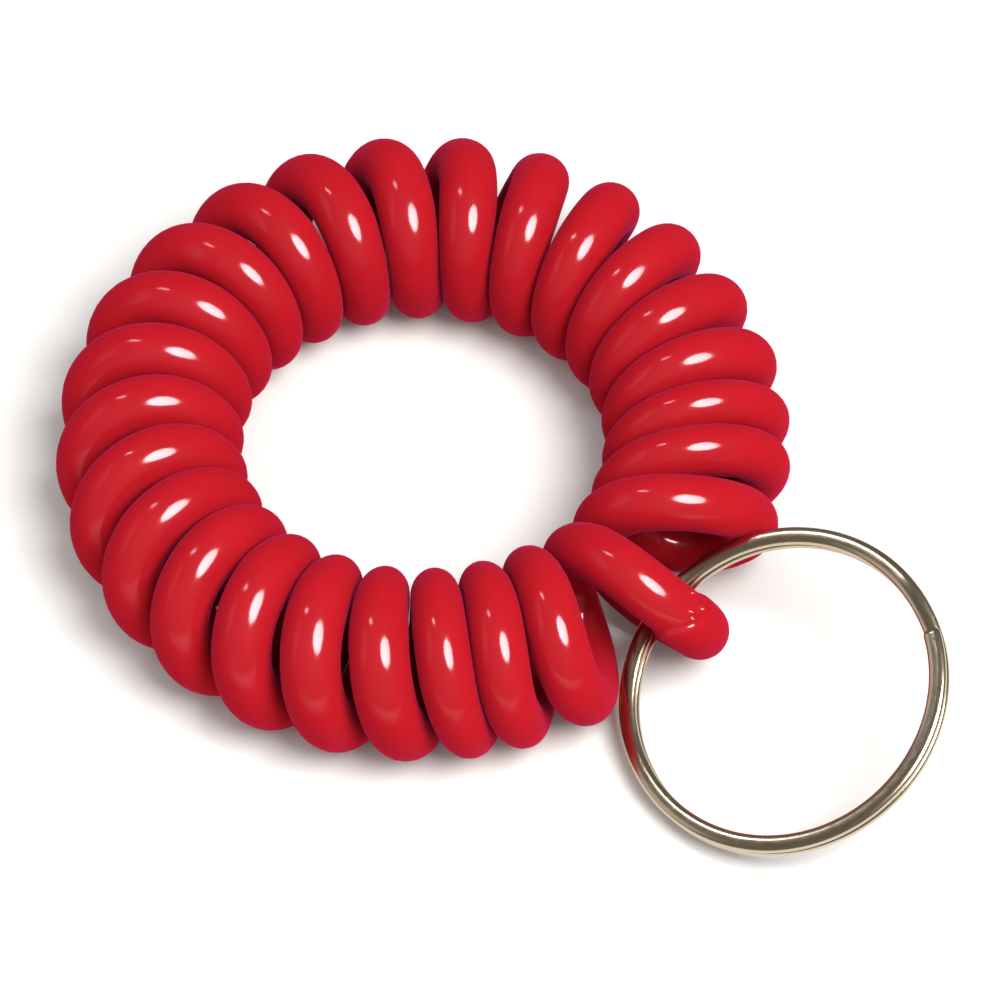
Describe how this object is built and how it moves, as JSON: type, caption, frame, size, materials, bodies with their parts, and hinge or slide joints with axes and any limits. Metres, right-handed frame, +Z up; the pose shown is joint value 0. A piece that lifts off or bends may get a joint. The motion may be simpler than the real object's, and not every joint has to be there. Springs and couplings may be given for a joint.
{
  "type": "spiral wrist coil key chain",
  "caption": "Stretchy bracelet of coiled glossy plastic cord welded into a closed loop, with a flat-wire steel split ring hanging in the welded turn.",
  "frame": {"origin": "centre of the band's wrist hole, on the plane that the band lies on", "axes": "+Z up along the wrist hole's axis; the band lies flat; the split ring hangs out towards +X and -Y"},
  "size_m": [0.0837, 0.0808, 0.0178],
  "materials": {
    "red_cord": "high gloss, slightly translucent moulded plastic",
    "nickel_wire": "bright nickel plating"
  },
  "bodies": {
    "welded_turn": {"welded_turn": "red_cord"},
    "coil_turn_01": {"coil_turn_01": "red_cord"},
    "coil_turn_02": {"coil_turn_02": "red_cord"},
    "coil_turn_03": {"coil_turn_03": "red_cord"},
    "coil_turn_04": {"coil_turn_04": "red_cord"},
    "coil_turn_05": {"coil_turn_05": "red_cord"},
    "coil_turn_06": {"coil_turn_06": "red_cord"},
    "coil_turn_07": {"coil_turn_07": "red_cord"},
    "coil_turn_08": {"coil_turn_08": "red_cord"},
    "coil_turn_09": {"coil_turn_09": "red_cord"},
    "coil_turn_10": {"coil_turn_10": "red_cord"},
    "coil_turn_11": {"coil_turn_11": "red_cord"},
    "coil_turn_12": {"coil_turn_12": "red_cord"},
    "coil_turn_13": {"coil_turn_13": "red_cord"},
    "coil_turn_14": {"coil_turn_14": "red_cord"},
    "coil_turn_15": {"coil_turn_15": "red_cord"},
    "coil_turn_16": {"coil_turn_16": "red_cord"},
    "coil_turn_17": {"coil_turn_17": "red_cord"},
    "coil_turn_18": {"coil_turn_18": "red_cord"},
    "coil_turn_19": {"coil_turn_19": "red_cord"},
    "coil_turn_20": {"coil_turn_20": "red_cord"},
    "coil_turn_21": {"coil_turn_21": "red_cord"},
    "coil_turn_22": {"coil_turn_22": "red_cord"},
    "coil_turn_23": {"coil_turn_23": "red_cord"},
    "coil_turn_24": {"coil_turn_24": "red_cord"},
    "coil_turn_25": {"coil_turn_25": "red_cord"},
    "split_ring": {"split_ring": "nickel_wire"}
  },
  "joints": [
    {"name": "band_stretch", "type": "slide", "parent": "welded_turn", "child": "coil_turn_01", "axis": [0.5754, 0.8179, 0], "range_m": [0, 0.0033], "stiffness_N_per_m": 6000},
    {"name": "turn_02_stretch", "type": "slide", "parent": "coil_turn_01", "child": "coil_turn_02", "axis": [0.3608, 0.9326, 0], "range_m": [-0.0001, 0.00344]},
    {"name": "turn_03_stretch", "type": "slide", "parent": "coil_turn_02", "child": "coil_turn_03", "axis": [0.1219, 0.9925, 0], "range_m": [-0.0001, 0.00348]},
    {"name": "turn_04_stretch", "type": "slide", "parent": "coil_turn_03", "child": "coil_turn_04", "axis": [-0.1275, 0.9918, 0], "range_m": [-0.0001, 0.00352]},
    {"name": "turn_05_stretch", "type": "slide", "parent": "coil_turn_04", "child": "coil_turn_05", "axis": [-0.372, 0.9282, 0], "range_m": [-0.0001, 0.00357]},
    {"name": "turn_06_stretch", "type": "slide", "parent": "coil_turn_05", "child": "coil_turn_06", "axis": [-0.5953, 0.8035, 0], "range_m": [-0.0001, 0.00361]},
    {"name": "turn_07_stretch", "type": "slide", "parent": "coil_turn_06", "child": "coil_turn_07", "axis": [-0.7813, 0.6241, 0], "range_m": [-0.0001, 0.00364]},
    {"name": "turn_08_stretch", "type": "slide", "parent": "coil_turn_07", "child": "coil_turn_08", "axis": [-0.9161, 0.4009, 0], "range_m": [-0.0001, 0.00367]},
    {"name": "turn_09_stretch", "type": "slide", "parent": "coil_turn_08", "child": "coil_turn_09", "axis": [-0.9889, 0.1488, 0], "range_m": [-0.0001, 0.00369]},
    {"name": "turn_10_stretch", "type": "slide", "parent": "coil_turn_09", "child": "coil_turn_10", "axis": [-0.9934, -0.1145, 0], "range_m": [-0.0001, 0.0037]},
    {"name": "turn_11_stretch", "type": "slide", "parent": "coil_turn_10", "child": "coil_turn_11", "axis": [-0.929, -0.3701, 0], "range_m": [-0.0001, 0.00369]},
    {"name": "turn_12_stretch", "type": "slide", "parent": "coil_turn_11", "child": "coil_turn_12", "axis": [-0.8004, -0.5995, 0], "range_m": [-0.0001, 0.00368]},
    {"name": "turn_13_stretch", "type": "slide", "parent": "coil_turn_12", "child": "coil_turn_13", "axis": [-0.6175, -0.7866, 0], "range_m": [-0.0001, 0.00366]},
    {"name": "turn_14_stretch", "type": "slide", "parent": "coil_turn_13", "child": "coil_turn_14", "axis": [-0.3942, -0.919, 0], "range_m": [-0.0001, 0.00363]},
    {"name": "turn_15_stretch", "type": "slide", "parent": "coil_turn_14", "child": "coil_turn_15", "axis": [-0.1468, -0.9892, 0], "range_m": [-0.0001, 0.00359]},
    {"name": "turn_16_stretch", "type": "slide", "parent": "coil_turn_15", "child": "coil_turn_16", "axis": [0.1074, -0.9942, 0], "range_m": [-0.0001, 0.00355]},
    {"name": "turn_17_stretch", "type": "slide", "parent": "coil_turn_16", "child": "coil_turn_17", "axis": [0.3516, -0.9361, 0], "range_m": [-0.0001, 0.0035]},
    {"name": "turn_18_stretch", "type": "slide", "parent": "coil_turn_17", "child": "coil_turn_18", "axis": [0.5711, -0.8209, 0], "range_m": [-0.0001, 0.00346]},
    {"name": "turn_19_stretch", "type": "slide", "parent": "coil_turn_18", "child": "coil_turn_19", "axis": [0.7534, -0.6576, 0], "range_m": [-0.0001, 0.00342]},
    {"name": "turn_20_stretch", "type": "slide", "parent": "coil_turn_19", "child": "coil_turn_20", "axis": [0.8893, -0.4573, 0], "range_m": [-0.0001, 0.00338]},
    {"name": "turn_21_stretch", "type": "slide", "parent": "coil_turn_20", "child": "coil_turn_21", "axis": [0.9726, -0.2325, 0], "range_m": [-0.0001, 0.00336]},
    {"name": "turn_22_stretch", "type": "slide", "parent": "coil_turn_21", "child": "coil_turn_22", "axis": [1, 0.004, 0], "range_m": [-0.0001, 0.00334]},
    {"name": "turn_23_stretch", "type": "slide", "parent": "coil_turn_22", "child": "coil_turn_23", "axis": [0.9709, 0.2393, 0], "range_m": [-0.0001, 0.00333]},
    {"name": "turn_24_stretch", "type": "slide", "parent": "coil_turn_23", "child": "coil_turn_24", "axis": [0.8874, 0.461, 0], "range_m": [-0.0001, 0.00333]},
    {"name": "turn_25_stretch", "type": "slide", "parent": "coil_turn_24", "child": "coil_turn_25", "axis": [0.7537, 0.6573, 0], "range_m": [-0.0001, 0.00335]},
    {"name": "ring_flip", "type": "hinge", "parent": "welded_turn", "child": "split_ring", "pos_m": [0.02141, -0.01856, 0.00737], "axis": [-0.0893, -0.943, -0.3206], "range_deg": [-3, 85]}
  ],
  "couplings": [
    {"joint": "turn_02_stretch", "follows": "band_stretch", "ratio": 1.0115},
    {"joint": "turn_03_stretch", "follows": "band_stretch", "ratio": 1.0242},
    {"joint": "turn_04_stretch", "follows": "band_stretch", "ratio": 1.0376},
    {"joint": "turn_05_stretch", "follows": "band_stretch", "ratio": 1.0508},
    {"joint": "turn_06_stretch", "follows": "band_stretch", "ratio": 1.063},
    {"joint": "turn_07_stretch", "follows": "band_stretch", "ratio": 1.0735},
    {"joint": "turn_08_stretch", "follows": "band_stretch", "ratio": 1.0818},
    {"joint": "turn_09_stretch", "follows": "band_stretch", "ratio": 1.0872},
    {"joint": "turn_10_stretch", "follows": "band_stretch", "ratio": 1.0897},
    {"joint": "turn_11_stretch", "follows": "band_stretch", "ratio": 1.0889},
    {"joint": "turn_12_stretch", "follows": "band_stretch", "ratio": 1.0849},
    {"joint": "turn_13_stretch", "follows": "band_stretch", "ratio": 1.078},
    {"joint": "turn_14_stretch", "follows": "band_stretch", "ratio": 1.0685},
    {"joint": "turn_15_stretch", "follows": "band_stretch", "ratio": 1.057},
    {"joint": "turn_16_stretch", "follows": "band_stretch", "ratio": 1.0443},
    {"joint": "turn_17_stretch", "follows": "band_stretch", "ratio": 1.0309},
    {"joint": "turn_18_stretch", "follows": "band_stretch", "ratio": 1.0177},
    {"joint": "turn_19_stretch", "follows": "band_stretch", "ratio": 1.0055},
    {"joint": "turn_20_stretch", "follows": "band_stretch", "ratio": 0.99498},
    {"joint": "turn_21_stretch", "follows": "band_stretch", "ratio": 0.98672},
    {"joint": "turn_22_stretch", "follows": "band_stretch", "ratio": 0.98122},
    {"joint": "turn_23_stretch", "follows": "band_stretch", "ratio": 0.9788},
    {"joint": "turn_24_stretch", "follows": "band_stretch", "ratio": 0.97961},
    {"joint": "turn_25_stretch", "follows": "band_stretch", "ratio": 0.9836}
  ]
}
